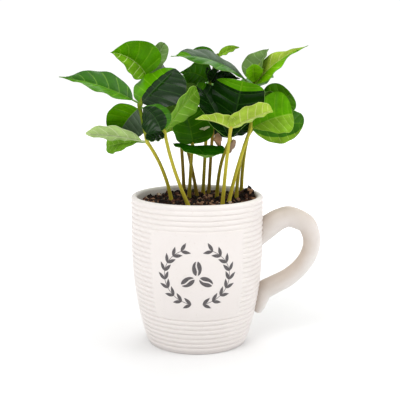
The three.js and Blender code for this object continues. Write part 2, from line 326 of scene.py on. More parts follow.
def panelShare(turn, z):  # 1 on the smooth panel, 0 on the ribs, turn is from the front
    border = mug["panelBorder"]
    across = (math.radians(mug["panelHalfAngle"]) - np.abs(turn)) * mug["radius"] / border
    upDown = np.minimum(z - mug["panelBottom"], mug["panelTop"] - z) / border
    return easeIn(across + 0.5) * easeIn(upDown + 0.5)


def makeGlaze(name, tones, lean=0.0):  # the last argument says how far painted light and shade follow the way the wall faces
    finish = Finish(name, mug["shine"])
    cloud = finish.grain(*mug["cloud"])
    speck = finish.grain(*mug["speck"])
    normal = finish.add("ShaderNodeNewGeometry", out="Normal")
    # painted light and shade: the tone lightens where the surface faces the handle's pale way and darkens
    # where it faces away
    paintedLightFacing = finish.add("ShaderNodeVectorMath", {0: normal, 1: handle["pale"]}, "Value",
                        operation="DOT_PRODUCT")
    body = finish.mix(cloud + lean * paintedLightFacing, *tones)
    dots = 1 - finish.span(speck, *mug["speckSpan"])
    finish.set("Base Color", finish.mix(dots * mug["speckShare"], body, mug["speckTone"]))
    finish.set("Roughness", between(*mug["rough"], cloud))
    finish.set("Normal", finish.bump(between(cloud, speck, mug["speckRelief"]), *mug["relief"]))
    return finish


def mugShape():  # a profile turned round the axis, with grooves that fade out on the panel
    rows = np.arange(mug["ribCount"] * mug["ribRows"] + 1)
    heights = mug["ribTop"] - mug["ribCount"] * mug["ribPitch"] + rows * mug["ribPitch"] / mug["ribRows"]
    share = rows % mug["ribRows"] / mug["ribRows"]
    profile = list(mug["foot"])
    depths = [0.0] * len(profile)
    profile += zip(bodyRadius(heights), heights)
    depths += list(mug["ribDepth"] * np.abs(2 * share - 1) ** mug["ribPower"])
    lip = mug["lipRound"]
    turns = np.radians(np.linspace(0, 180, mug["lipSteps"]))
    profile += zip(mug["radius"] - lip + lip * np.cos(turns), mug["height"] - lip + lip * np.sin(turns))
    inner = np.linspace(mug["innerTop"], mug["floor"] + mug["floorRound"], mug["innerRows"])
    profile += zip(innerRadius(inner), inner)
    corner = mug["floor"] + mug["floorRound"] * (1 - np.sin(np.radians(np.linspace(*mug["floorTurns"]))))
    profile += zip(innerRadius(corner), corner)
    profile += [(radius, mug["floor"]) for radius in mug["floorMiddle"]]
    depths += [0.0] * (len(profile) - len(depths))
    radius, z = np.array(profile).T[:, :, None]
    turns = roundTurns(mug["sides"])[None, :]
    fromFront = (turns + math.pi) % (2 * math.pi) - math.pi
    radius = radius - np.array(depths)[:, None] * (1 - panelShare(fromFront, z))
    points = np.stack([radius * np.sin(turns), -radius * np.cos(turns), z + 0 * turns], -1)
    shape = Shape()
    shape.take(points, ringFaces(len(profile), mug["sides"]))
    return shape


def handleShape():
    line = smoothLine(handle["line"], handle["steps"])
    x, z, depth, width = line.T
    way = unit(np.gradient(line[:, :2], axis=0))
    turns = roundTurns(handle["sides"])[None, :]
    reach = depth[:, None] * np.cos(turns)
    points = np.stack([x[:, None] - way[:, 1:2] * reach, width[:, None] * np.sin(turns),
                       z[:, None] + way[:, 0:1] * reach], -1)
    # what lies past the middle of the wall is drawn back to it
    least = bodyRadius(points[..., 2]) - mug["wall"] / 2
    scale = np.maximum(1, least / np.hypot(points[..., 0], points[..., 1]))
    points[..., :2] *= scale[..., None]
    shape = Shape()
    shape.take(points, ringFaces(len(line), handle["sides"]), 1)
    return shape


def makeMug():
    glazes = [makeGlaze("mug glaze", mug["glaze"]),
              makeGlaze("handle glaze with painted shading", handle["glaze"], handle["lean"])]
    body = mugShape().dress("mug", "glaze", glazes, ["mug_body", "mug_handle"])
    arm = handleShape().dress("mugArm", "glaze", glazes)
    join = body.modifiers.new("join", "BOOLEAN")
    join.operation = "UNION"
    join.solver = "MANIFOLD"
    join.object = arm
    bpy.context.view_layer.update()
    whole = bpy.data.meshes.new_from_object(body.evaluated_get(bpy.context.evaluated_depsgraph_get()))
    body.modifiers.clear()
    body.data = whole
    bpy.data.objects.remove(arm)
    print("mug:", len(whole.polygons), "faces")


makeMug()


# Ornament on the panel: a wreath of leaves round three beans

ornament = {
    "centre": (0.0, 56.0),
    "reach": (22.0, 19.0),
    "start": -80,  # degrees, from the wreath's right towards its top
    "end": 62,
    "nodes": 9,
    "leaf": (6.6, 2.3),  # length and width
    "leafPower": 0.85,  # under 1 brings the widest place nearer the twig
    "leafPoints": 9,
    "leafTurn": 34,
    "twig": 0.34,
    "twigSteps": 60,
    "bean": (9.6, 6.2),
    "beanGap": 0.5,
    "beanPoints": 28,
    "beans": [(-6.0, 52.6, 28), (6.0, 52.6, -28), (0.0, 61.6, 90)],  # along, height, turn
    "lift": 0.1,
    "sink": 0.1,
    "ink": (tint(70, 66, 68), tint(104, 99, 100)),
    "shine": 0.4,
    "rough": (0.4, 0.6),
    "wear": (1400.0, 3.0, 0.7),
    "wearSpan": (0.3, 0.72),
}


def onPanel(points, lift):  # along the wall and height, to the mug's front
    along, z = np.asarray(points, float).T
    radius = bodyRadius(z) + lift
    turn = along / mug["radius"]
    return np.stack([radius * np.sin(turn), -radius * np.cos(turn), z], -1)


def printPatch(shape, outline):  # a thin slab of ink inside an outline
    outline = np.asarray(outline, float)
    count = len(outline)
    flat = np.vstack([outline, outline.mean(0)])
    points = np.vstack([onPanel(flat, ornament["lift"]), onPanel(flat, -ornament["sink"])])
    faces = []
    for i in range(count):
        k = (i + 1) % count
        faces.append((i, k, count))
        faces.append((count + 1 + k, count + 1 + i, 2 * count + 1))
        faces.append((k, i, count + 1 + i, count + 1 + k))
    shape.take(points, faces)


def turned(points, degrees, centre):
    c, s = math.cos(math.radians(degrees)), math.sin(math.radians(degrees))
    return np.asarray(points, float) @ np.array([[c, s], [-s, c]]) + centre


def leafOutline(length, width):
    share = np.linspace(0, 1, ornament["leafPoints"])
    half = width / 2 * np.sin(math.pi * share ** ornament["leafPower"])
    upper = np.stack([share * length, half], -1)
    lower = upper[1:-1] * (1, -1)
    return np.vstack([lower, upper[::-1]])


def beanOutline(low, high):  # the part of an oval that lies between two wavy lines along it
    length, width = ornament["bean"]
    turns = roundTurns(ornament["beanPoints"])
    wave = ornament["beanGap"] * np.sin(math.pi * np.cos(turns))
    rise = np.clip(width / 2 * np.sin(turns), low + wave, high + wave)
    return np.stack([length / 2 * np.cos(turns), rise], -1)


def makeOrnament():
    ink = Finish("ornament ink", ornament["shine"])
    wear = ink.grain(*ornament["wear"])
    ink.set("Base Color", ink.fade(wear, ornament["wearSpan"], ornament["ink"]))
    ink.set("Roughness", between(*ornament["rough"], wear))
    shape = Shape()
    centre = ornament["centre"]
    angles = np.radians(np.linspace(ornament["start"], ornament["end"], ornament["nodes"]))
    fine = np.linspace(angles[0], angles[-1], ornament["twigSteps"])
    for mirror in (1, -1):
        reach = np.array(ornament["reach"]) * (mirror, 1)
        twig = centre + np.stack([np.cos(fine), np.sin(fine)], -1) * reach
        for a, b in zip(twig[:-1], twig[1:]):
            normal = unit(np.array([a[1] - b[1], b[0] - a[0]])) * ornament["twig"] / 2
            printPatch(shape, [a - normal, b - normal, b + normal, a + normal][::mirror])
        for angle in angles:
            spot = centre + (math.cos(angle), math.sin(angle)) * reach
            way = (-math.sin(angle), math.cos(angle)) * reach
            heading = math.degrees(math.atan2(way[1], way[0]))
            for side in (1, -1):
                turn = heading + side * ornament["leafTurn"]
                printPatch(shape, turned(leafOutline(*ornament["leaf"]), turn, spot))
    gap = ornament["beanGap"]
    for along, z, turn in ornament["beans"]:
        for low, high in ((gap, math.inf), (-math.inf, -gap)):
            printPatch(shape, turned(beanOutline(low, high), turn, (along, z)))
    shape.dress("panelOrnament", "glaze", [ink])
    print("ornament:", len(shape.faces), "faces")


makeOrnament()


# Soil

soil = {
    "level": 97.3,
    "mounds": [(32, 18, 2.6, 15), (-9, 36, 1.6, 12)],  # x, y, height, reach
    "gap": 0.25,
    "edgeRise": 3.0,  # its lowest edge is as wide as the mug this much higher
    "edgeInset": 1.0,
    "wallRows": (30.0, 50.0, 70.0, 90.0),
    "rings": 46,
    "midShare": 0.001,  # the innermost ring, as a share of the rim
    "sides": 170,
    "lumpHeight": 1.5,
    "sunk": 0.8,  # how far the lumpy top lies under the smooth one
    "lumps": (0.16, 4.0),  # scale, and the layer of noise
    "lumpDetail": (0.7, 2.2, 4),
    "crumbs": 2200,
    "crumbSize": (0.5, 1.7),
    "crumbFacets": 2,
    "crumbInset": 2.2,
    "ragged": 0.25,
    "stretch": 1.0,
    "perch": 0.3,  # how far a crumb stands up, as a share of its size
    "heap": (35.5, 9),
    "heapSpread": 3.4,
    "heapRise": 5.0,
    "heapFill": 0.4,  # lower leaves fewer clods low in the heap
    "heapCrumbs": 140,
    "heapSize": (0.9, 2.1),
    "seed": 11,
    "shine": 0.15,
    "clod": (420.0, 5.0, 0.7),
    "dust": (2600.0, 3.0, 0.6),
    "dustTone": 0.35,  # its share in the tone, in the roughness and in the bump
    "dustRough": 0.3,
    "dustRelief": 0.4,
    "relief": (0.5, 0.9),
    "toneSpan": (0.34, 0.66),
    "bed": (tint(12, 7, 5), tint(52, 36, 28)),
    "bedRough": 0.6,
    "crumbRough": 0.55,
    "earths": {  # share of the crumbs, and two colours
        "black": (0.58, tint(10, 5, 3), tint(40, 25, 19)),
        "brown": (0.28, tint(54, 30, 22), tint(96, 60, 44)),
        "tan": (0.1, tint(122, 86, 62), tint(172, 134, 104)),
        "pale": (0.04, tint(150, 126, 102), tint(206, 186, 160)),
    },
}


def soilHeight(x, y):
    height = soil["level"]
    for moundX, moundY, rise, reach in soil["mounds"]:
        height = height + rise * np.exp(-((x - moundX) ** 2 + (y - moundY) ** 2) / reach ** 2)
    return height


def crust(x, y):  # the soil's lumpy top
    scale, layer = soil["lumps"]
    lumps = noise.fractal(Vector((x * scale, y * scale, layer)), *soil["lumpDetail"])
    return soilHeight(x, y) + soil["lumpHeight"] * lumps - soil["sunk"]


def earth(name, tones, rough):
    finish = Finish(name, soil["shine"])
    clod = finish.grain(*soil["clod"])
    dust = finish.grain(*soil["dust"])
    finish.set("Base Color", finish.fade(between(clod, dust, soil["dustTone"]), soil["toneSpan"], tones))
    finish.set("Roughness", rough + soil["dustRough"] * dust)
    finish.set("Normal", finish.bump(between(clod, dust, soil["dustRelief"]), *soil["relief"]))
    return finish


def soilRing(radius, height=None):  # at one height, or on the lumpy top
    points = []
    for turn in roundTurns(soil["sides"]):
        x, y = radius * math.cos(turn), radius * math.sin(turn)
        points.append((x, y, crust(x, y) if height is None else height))
    return points


def makeSoil():
    floor = mug["floor"] + soil["gap"]
    edge = innerRadius(floor + soil["edgeRise"]) - soil["edgeInset"]
    rings = [soilRing(mug["floorMiddle"][-1], floor), soilRing(edge, floor)]
    for z in (mug["floor"] + mug["floorRound"], *soil["wallRows"]):
        rings.append(soilRing(innerRadius(z) - soil["gap"], z))
    rim = innerRadius(soil["level"]) - soil["gap"]
    rings += [soilRing(rim * share) for share in np.linspace(1, soil["midShare"], soil["rings"])]
    bed = Shape()
    bed.take(rings, ringFaces(len(rings), soil["sides"]))
    finish = earth("moist soil", soil["bed"], soil["bedRough"])
    bed.dress("soilBed", "soil", [finish], ["soil"], sharp=180)
    print("soil:", len(bed.faces), "faces")


def crumbForm():  # a ball's points and faces, to be pulled out of shape
    ball = bmesh.new()
    bmesh.ops.create_icosphere(ball, subdivisions=soil["crumbFacets"], radius=1)
    points = np.array([v.co for v in ball.verts])
    faces = [tuple(v.index for v in face.verts) for face in ball.faces]
    ball.free()
    return points, faces


def strew(shape, draw, form, sizes, place):  # one crumb, pulled out of shape and turned
    points, faces = form
    size = between(*sizes, draw.random() ** 2)
    body = points * (1 + soil["ragged"] * draw.normal(size=(len(points), 1)))
    body = body * (1 + soil["stretch"] * draw.random(3)) / (1 + soil["stretch"] / 2)
    spin, _ = np.linalg.qr(draw.normal(size=(3, 3)))
    spin = spin * np.linalg.det(spin)
    shares = [share for share, _, _ in soil["earths"].values()]
    paint = int(draw.choice(len(shares), p=shares))
    shape.take(body @ spin * size + place + (0, 0, size * soil["perch"]), faces, paint)


def makeCrumbs():
    draw = np.random.default_rng(soil["seed"])
    shape = Shape()
    form = crumbForm()
    rim = innerRadius(soil["level"]) - soil["crumbInset"]
    for _ in range(soil["crumbs"]):
        away = rim * math.sqrt(draw.random())
        turn = 2 * math.pi * draw.random()
        x, y = away * math.cos(turn), away * math.sin(turn)
        strew(shape, draw, form, soil["crumbSize"], (x, y, crust(x, y)))
    for _ in range(soil["heapCrumbs"]):  # a loose pile of clods by the rim
        offset = soil["heapSpread"] * draw.normal(size=2)
        x, y = soil["heap"] + offset
        inside = min(1, rim / math.hypot(x, y))
        x, y = x * inside, y * inside
        slope = math.exp(-offset.dot(offset) / (2 * soil["heapSpread"] ** 2))
        rise = soil["heapRise"] * slope * draw.random() ** soil["heapFill"]
        strew(shape, draw, form, soil["heapSize"], (x, y, crust(x, y) + rise))
    earths = soil["earths"].items()
    finishes = [earth(name + " soil", tones, soil["crumbRough"]) for name, (_, *tones) in earths]
    shape.dress("soilCrumbs", "soil", finishes, sharp=40)
    print("soil crumbs:", len(shape.faces), "faces")


makeSoil()
makeCrumbs()


# Seedlings: the foot of each stem, its leaf nodes from the lowest up, and the tip of each leaf
# bend is what the midrib turns down from node to tip, roll turns the blade about its midrib,
# fold lifts its halves and curl bends them on, all in degrees
# the lower baseFull and tipFull are, the blunter is that end; a rim is a tone, a side and its start, a band
# of painted light on the blade; a right tone other than the top is painted light and shade on the two halves

leafKinds = {
    "any": dict(bend=20, roll=0, veins=7, drip=0.0, top="green", under="moss", rim=None),
    "seed": dict(width=32, stalk=2, fold=8, curl=10, baseFull=0.45, tipFull=0.55, quilt=0.6, wave=0.6),
    "paddle": dict(width=30, stalk=1, fold=8, curl=5, baseFull=1.0, tipFull=0.4, quilt=0.6, wave=0.6),
    "grown": dict(width=23, stalk=5, bend=35, fold=14, curl=-8, baseFull=0.85, tipFull=1.1, veins=8,
                  quilt=0.75, wave=0.8, drip=0.07),
    "young": dict(width=13, stalk=1, fold=25, curl=5, baseFull=0.75, tipFull=0.9, quilt=0.4, wave=0.5,
                  drip=0.03),
}


def sprout(kind, tip, **traits):  # one leaf, with what its kind leaves open
    return {**leafKinds["any"], **leafKinds[kind], "tip": tip, **traits}


seedlings = [
    dict(name="left_front", foot=(-17.5, 2), bend=(0.25, 0.55), bark="lime", nodes=[
        dict(at=(-32, -25, 140.5), leaves=[
            sprout("seed", (-72, -22, 145.5), width=23, stalk=4, roll=30, fold=5, curl=0, baseFull=0.7,
                   tipFull=0.7, top="fresh", under="pale"),
            sprout("paddle", (-60, -10, 136), width=14, stalk=7, roll=-65, top="fresh"),
        ]),
        dict(at=(-36.5, -25, 163), leaves=[
            sprout("seed", (-52, -16, 143), width=27, bend=30, roll=-120, baseFull=0.45, top="bright",
                   right="steel"),
            sprout("paddle", (-22, -47, 150), width=20, stalk=4, bend=55, roll=50, curl=-15, top="deep",
                   rim=("green", "right", 0.6)),
        ]),
        dict(at=(-36, -25, 165), leaves=[
            sprout("grown", (-86, -36, 182.5), width=24, stalk=6, bend=25, roll=-36, fold=20, baseFull=0.7,
                   top="gloss", right="leafy"),
            sprout("seed", (-14, -12, 187), width=43, stalk=1, bend=5, roll=20, fold=0, curl=-20,
                   baseFull=0.5, top="deep", rim=("bright", "right", 0.2)),
        ]),
        dict(at=(-33.5, 3, 182), leaves=[
            sprout("young", (-56.5, -7, 197.5), width=34, bend=60, roll=-80, fold=35, baseFull=0.4,
                   tipFull=0.9, top="bright", right="spring"),
            sprout("young", (-22, 19, 204), bend=2, roll=55, baseFull=0.55, tipFull=0.45, top="sage"),
        ]),
    ]),
    dict(name="middle_front", foot=(-5.5, -18), bend=(0.75, 0.55), bark="lime", nodes=[
        dict(at=(-20.5, -30, 147.5), leaves=[
            sprout("paddle", (0, -24, 174), width=36, bend=20, roll=-35, fold=-10, curl=0, under="fresh"),
            sprout("seed", (-32, -36, 143.5), width=11, stalk=1, bend=2, roll=-35, fold=0, top="deep"),
        ]),
    ]),
    dict(name="left_back", foot=(-9.5, 34), bark="brown", nodes=[
        dict(at=(-12, 36, 142), leaves=[
            sprout("seed", (-2, 74, 147), bend=30),
            sprout("seed", (-44, 41, 148), width=28, top="deep"),
        ]),
        dict(at=(-13, 38, 165), leaves=[
            sprout("grown", (-33, 42, 194), width=27, bend=20, top="deep"),
            sprout("grown", (-18, 79, 181)),
        ]),
    ]),
    dict(name="left_inner", foot=(0, 19), bark="brown", nodes=[
        dict(at=(-10.5, 14, 146), leaves=[
            sprout("paddle", (-8, 2, 177), width=27, bend=2, roll=15, baseFull=0.65, top="deep"),
            sprout("seed", (-32, 5, 145.5), width=10, stalk=3, roll=50, fold=0, top="fan", under="fan"),
        ]),
    ]),
    dict(name="middle_low", foot=(-5.5, 12.5), bark="olive", nodes=[
        dict(at=(-3, -2, 136), leaves=[
            sprout("seed", (-10, 4, 163), width=33, stalk=1, bend=30, roll=-15, baseFull=0.3),
            sprout("seed", (6, -33, 131.5), width=35, roll=-5, stalk=4, fold=2, curl=7, baseFull=0.35,
                   top="dark", rim=("moss", "tip", 0.86)),
        ]),
    ]),
    dict(name="middle_tall", foot=(4.2, 27), bark="olive", greenFrom=142, nodes=[
        dict(at=(9, 18, 177), leaves=[
            sprout("grown", (-11.5, 6, 184), width=21, stalk=2, bend=50, roll=-120, fold=5, under="green"),
            sprout("grown", (29, 10, 180), width=12, stalk=1, bend=25, roll=60, fold=30, top="deep",
                   under="deep"),
            sprout("young", (14.5, 10, 188), width=9, bend=10, top="deep", under="deep"),
            sprout("young", (4.5, 11, 189), width=8, bend=10, top="deep", under="deep"),
        ]),
        dict(at=(13.5, 16, 194.5), leaves=[
            sprout("young", (-4, 24, 199), width=8, roll=-50, fold=35),
            sprout("young", (28.5, 12, 201), width=7, roll=60, top="fan"),
        ]),
    ]),
    dict(name="middle_back", foot=(8.4, 31), bark="brown", nodes=[
        dict(at=(11, 38, 139), leaves=[
            sprout("seed", (42, 50, 145), width=21, bend=30, roll=45, top="deep", under="deep"),
            sprout("seed", (-2, 73, 129), bend=30, top="deep"),
        ]),
        dict(at=(12, 40, 160), leaves=[
            sprout("grown", (25, 80, 179), bend=45),
        ]),
    ]),
    dict(name="right_inner", foot=(13.8, 12.5), bend=(0.1, 0.6), bark="olive", nodes=[
        dict(at=(22, -10, 140.5), leaves=[
            sprout("seed", (1, 5, 177.5), width=26, bend=5, roll=-20, fold=12, baseFull=0.6, tipFull=0.7,
                   top="deep", rim=("green", "tip", 0.86)),
            sprout("paddle", (30, -9, 179), width=43, bend=2, roll=45, fold=3, tipFull=0.25, top="deep",
                   rim=("bright", "tip", 0.8)),
        ]),
    ]),
    dict(name="right_front", foot=(17, -15), bark="lime", nodes=[
        dict(at=(21.5, -34, 150.5), leaves=[
            sprout("seed", (-1, -38, 156.5), width=19, stalk=1, bend=40, roll=20, fold=15, baseFull=0.12,
                   tipFull=0.9, top="lime", under="lime"),
            sprout("seed", (47, -38, 162), width=24, stalk=1, bend=15, roll=-25, baseFull=0.2, tipFull=0.2,
                   top="lime", under="lime"),
        ]),
    ]),
    dict(name="right_tall", foot=(21, -12), bark="lime", nodes=[
        dict(at=(36, -1, 147), leaves=[
            sprout("paddle", (64, 1, 157), width=34, bend=25, roll=55, fold=15, top="fan", right="bright",
                   under="fan"),
        ]),
        dict(at=(38, 9, 174), leaves=[
            sprout("grown", (73.5, 0, 202), width=22, stalk=3, bend=40, roll=40, fold=10, baseFull=0.8,
                   tipFull=1.8, top="vivid", right="lime"),
            sprout("grown", (-17, -14, 195), width=21, stalk=7, bend=55, roll=-32, fold=0, curl=0,
                   baseFull=1.1, tipFull=0.9, top="slate", right="green", rim=("leafy", "tip", 0.72)),
        ]),
        dict(at=(38.5, 11, 176.5), leaves=[
            sprout("young", (49, 20, 200), width=25, bend=35, roll=-5, top="sage"),
            sprout("paddle", (37, -4, 190), width=13, bend=5, roll=-165, fold=20, top="vivid"),
        ]),
    ]),
    dict(name="right_low", foot=(27, 2.4), bend=(0.1, 0.7), bark="olive", nodes=[
        dict(at=(37, 14, 144), leaves=[
            sprout("seed", (74, 19, 149), width=31, roll=125, fold=5, baseFull=0.75,
                   rim=("fan", "left", 0.6)),
        ]),
    ]),
    dict(name="right_back", foot=(31.2, 20), bend=(0.1, 0.75), bark="olive", nodes=[
        dict(at=(39.5, 31, 147.5), leaves=[
            sprout("paddle", (66, 30, 169), width=31, bend=2, roll=55, top="leafy"),
            sprout("seed", (60, 66, 150), bend=30),
        ]),
        dict(at=(32.5, 29, 166), leaves=[
            sprout("grown", (56, 64, 180), bend=40),
            sprout("grown", (64, 32, 167), width=15),
        ]),
    ]),
]


# Stems

stem = {
    "foot": 1.25,
    "tip": 1.05,
    "flare": 0.3,
    "flareHeight": 4.0,
    "bend": (0.4, 0.55),  # shares of the way to the lowest node, along and up
    "bud": 2.5,
    "budEnd": 0.15,  # how blunt the bud's end is
    "sunk": 1.6,
    "steps": 34,
    "shootSteps": 10,
    "sides": 16,
    "ridge": 0.07,
    "ridges": 3,
    "wander": 0.25,  # scale of the uneven places
    "swell": 0.2,  # at each leaf node
    "swellReach": 2.2,
    "greening": 9.0,  # the height over which bark turns to shoot
    "toneSpan": (134.6, 209.3),  # heights between which bark changes tone
    "streakReach": 56.0,  # how far down a streak brings them
    "shootSpan": (0.3, 0.7),
    "shine": 0.08,
    "rough": (0.34, 0.64),
    "streak": (380.0, 4.0, 0.6),
    "fleck": (2200.0, 2.0, 0.5),
    "fleckTone": (0.02, 0.012, 0.004, 1.0),
    "fleckDepth": 0.5,  # how far a fleck goes from bark to that tone
    "fleckShare": 0.3,
    "relief": (0.12, 0.6),
    "fleckRelief": 0.5,
    "tones": {
        "lime": (tint(190, 176, 56), tint(190, 192, 74)),
        "olive": (tint(160, 146, 44), tint(154, 152, 46)),
        "brown": (tint(130, 110, 40), tint(140, 120, 40)),
        "shoot": (tint(70, 96, 10), tint(104, 132, 22)),
    },
}


def stemFinish(name, tones, greenFrom):
    finish = Finish(name, stem["shine"])
    height = finish.add("ShaderNodeSeparateXYZ", {0: finish.place()}, "Z") * (1 / mm)
    streak = finish.grain(*stem["streak"])
    fleck = finish.grain(*stem["fleck"])
    bark = finish.fade(height + stem["streakReach"] * streak, stem["toneSpan"], tones)
    shoot = finish.fade(streak, stem["shootSpan"], stem["tones"]["shoot"])
    body = finish.fade(height, (greenFrom, greenFrom + stem["greening"]), (bark, shoot))
    dark = between(tones[0], stem["fleckTone"], stem["fleckDepth"])
    finish.set("Base Color", finish.mix(fleck * stem["fleckShare"], body, dark))
    finish.set("Roughness", between(*stem["rough"], streak))
    finish.set("Normal", finish.bump(between(streak, fleck, stem["fleckRelief"]), *stem["relief"]))
    return finish


def stemLine(seedling):  # from under the soil, in one bend to the lowest node, then through the others
    x, y = seedling["foot"]
    foot = np.array([x, y, soilHeight(x, y)])
    nodes = [np.array(node["at"], float) for node in seedling["nodes"]]
    along, height = seedling.get("bend", stem["bend"])
    bend = foot + along * (nodes[0] - foot)
    bend[2] = foot[2] + height * (nodes[0][2] - foot[2])
    t = np.linspace(0, 1, stem["steps"])[:, None]
    line = (1 - t) ** 2 * foot + 2 * t * (1 - t) * bend + t ** 2 * nodes[0]
    last = nodes[-1] - (nodes[-2] if len(nodes) > 1 else bend)
    top = nodes[-1] + unit(last) * stem["bud"]
    shoot = smoothLine([line[-2], *nodes, top], stem["shootSteps"])[stem["shootSteps"]:]
    return np.vstack([foot - (0, 0, stem["sunk"]), line, shoot[1:]])


def stemRadii(line, seedling):
    step = np.linalg.norm(np.diff(line, axis=0), axis=1)
    run = np.concatenate([[0], np.cumsum(step)])
    radii = stem["foot"] + (stem["tip"] - stem["foot"]) * run / run[-1]
    radii *= 1 + stem["flare"] * np.exp(-run / stem["flareHeight"])
    for node in seedling["nodes"]:
        away = np.linalg.norm(line - node["at"], axis=1) / stem["swellReach"]
        radii += stem["swell"] * np.exp(-away ** 2)
    return radii * np.sqrt(np.minimum(1, (run[-1] - run) / stem["bud"] + stem["budEnd"]))


def makeStems():
    for seedling in seedlings:
        line = stemLine(seedling)
        points, faces = tube(line, stemRadii(line, seedling), stem["sides"])
        turns = np.tile(roundTurns(stem["sides"]), len(line))
        centres = np.repeat(line, stem["sides"], axis=0)
        uneven = np.array([noise.noise(Vector(point * stem["wander"])) for point in points])
        ridges = 1 + stem["ridge"] * (np.cos(stem["ridges"] * turns) + uneven)
        shape = Shape()
        shape.take(centres + (points - centres) * ridges[:, None], faces)
        greenFrom = seedling.get("greenFrom", seedling["nodes"][0]["at"][2])
        finish = stemFinish(seedling["name"] + " bark", stem["tones"][seedling["bark"]], greenFrom)
        node = "stem_" + seedling["name"]
        shape.dress(node + "_bark", "stem", [finish], [node], sharp=70)
    print("stems:", len(seedlings))


makeStems()


# Leaves

leaf = {
    "thick": 0.34,
    "leastHalfWidth": 0.12,
    "tail": 0.9,  # half the width of a drip tip, and its share of the length
    "tailShare": 0.1,
    "crowding": 0.55,  # how far rows gather at the leaf's ends
    "veinLean": 0.7,  # how far side veins run forward
    "veinCurve": 1.25,
    "veinShare": 0.05,  # half a vein's width, as a share of the veins' spacing
    "veinEnd": 0.86,
    "rowShares": (0.05, 0.2, 0.38, 0.62, 0.8, 0.95),
    "columns": (0.0, 0.035, 0.12, 0.24, 0.38, 0.52, 0.66, 0.79, 0.9, 0.97, 1.0),
    "fieldPower": 0.75,  # lower flattens the raised fields between side veins
    "fieldStart": 2.5,
    "fieldDrop": 0.6,  # what they lose towards the edge
    "groove": 0.45,
    "grooveWidth": 1.1,
    "waves": 3.2,
    "wavePower": 2.2,  # higher keeps the waves to the edge
    "stalkRadius": 0.85,
    "neckRadius": 0.605,
    "ribRadius": 0.55,
    "ribTip": 0.12,
    "ribDrop": 0.33,  # from the blade's middle down to the rib's
    "ribEnd": 0.9,
    "stalkSteps": 8,
    "stalkSides": 8,
    "seed": 5,
    "cloud": (110.0, 3.0, 0.5),
    "cell": (1500.0, 3.0, 0.6),
    "cellTone": 0.3,
    "cellRough": (-0.06, 0.1),  # added to a tone's roughness
    "relief": (0.1, 0.45),
    "shades": (0.72, 1.3),
    "shadeSpan": (0.33, 0.68),
    "parts": ("lamina", "vein"),
    "tones": {  # blade, veins, roughness and shine; some tones hold painted light and shade, as marked
        # painted shade: the blade as dark as the shadow deep in the crown
        "deep": ((10, 40, 2), (32, 62, 18), 0.2, 0.16),
        "dark": ((24, 74, 2), (44, 92, 12), 0.4, 0.0),
        "green": ((50, 104, 2), (76, 124, 20), 0.28, 0.07),
        "gloss": ((46, 100, 2), (92, 136, 40), 0.22, 0.28),
        "leafy": ((68, 124, 4), (96, 146, 26), 0.3, 0.06),
        # bright, vivid, fan and lime: partly the leaves' own light green, partly painted light shining
        # through them
        "bright": ((80, 142, 2), (104, 158, 22), 0.32, 0.05),
        "vivid": ((104, 166, 4), (132, 184, 36), 0.34, 0.04),
        "fresh": ((104, 152, 34), (138, 176, 72), 0.34, 0.06),
        "fan": ((118, 160, 34), (146, 180, 70), 0.4, 0.05),
        "spring": ((102, 152, 22), (176, 200, 116), 0.38, 0.05),
        "lime": ((154, 182, 58), (186, 200, 108), 0.42, 0.05),
        "sage": ((98, 130, 64), (124, 152, 96), 0.36, 0.1),
        # painted sheen: a grey reflection put into the blade's colour, here and in the next tone
        "steel": ((78, 96, 74), (104, 122, 98), 0.3, 0.25),
        "slate": ((74, 92, 70), (56, 76, 50), 0.4, 0.08),
        "pale": ((158, 184, 112), (182, 198, 146), 0.55, 0.05),
        "moss": ((86, 124, 40), (112, 146, 68), 0.5, 0.03),
    },
}


def leafFinish(name, colour, rough, shine):
    finish = Finish(name, shine)
    cloud = finish.grain(*leaf["cloud"])
    cell = finish.grain(*leaf["cell"])
    shades = [colour * (share, share, share, 1) for share in leaf["shades"]]
    finish.set("Base Color", finish.fade(between(cloud, cell, leaf["cellTone"]), leaf["shadeSpan"], shades))
    finish.set("Roughness", rough + between(*leaf["cellRough"], cell))
    finish.set("Normal", finish.bump(cell, *leaf["relief"]))
    return finish


def halfWidth(traits, share):
    body = np.clip(share / (1 - traits["drip"]), 0, 1)
    widest = traits["baseFull"] / (traits["baseFull"] + traits["tipFull"])
    base = (body / widest) ** traits["baseFull"]
    tip = ((1 - body) / (1 - widest)) ** traits["tipFull"]
    blade = np.maximum(leaf["leastHalfWidth"], traits["width"] / 2 * base * tip)
    tail = leaf["tail"] * np.clip((1 - share) / leaf["tailShare"], 0, 1)
    return np.maximum(blade, tail * (traits["drip"] > 0))


def midrib(at, traits, share):  # points and axes along a leaf's midrib, one arc from its node to its tip
    at = np.array(at, float)
    chord = traits["tip"] - at
    reach = np.linalg.norm(chord)
    halfBend = math.radians(traits["bend"]) / 2
    radius = reach / (2 * math.sin(halfBend))
    slope = math.asin(chord[2] / reach) + halfBend
    stalkShare = traits["stalk"] / (2 * halfBend * radius)
    pitch = (slope - 2 * halfBend * (stalkShare + (1 - stalkShare) * share))[..., None]
    up = np.array([0, 0, 1.0])
    ahead = chord * (1, 1, 0) / math.hypot(chord[0], chord[1])
    onward = (math.sin(slope) - np.sin(pitch)) * ahead + (np.cos(pitch) - math.cos(slope)) * up
    across = np.cross(up, ahead)
    normal = np.cross(np.cos(pitch) * ahead + np.sin(pitch) * up, across)
    roll = math.radians(traits["roll"])
    cos, sin = math.cos(roll), math.sin(roll)
    return at + radius * onward, across * cos + normal * sin, normal * cos - across * sin


def gridNormals(points):
    rows = np.gradient(points, axis=0)
    columns = np.gradient(points, axis=1)
    normals = np.cross(rows, columns)
    return normals / np.maximum(np.linalg.norm(normals, axis=2), 1e-9)[..., None]


def leafRows(count):  # each row's share of the leaf's length and its place among the side veins
    veins = [0.0]
    for i in range(count):
        veins += [i + share for share in leaf["rowShares"]]
    veins.append(count)
    veins = np.array(veins)
    even = veins / count
    return even + leaf["crowding"] * ((1 - np.cos(math.pi * even)) / 2 - even), veins


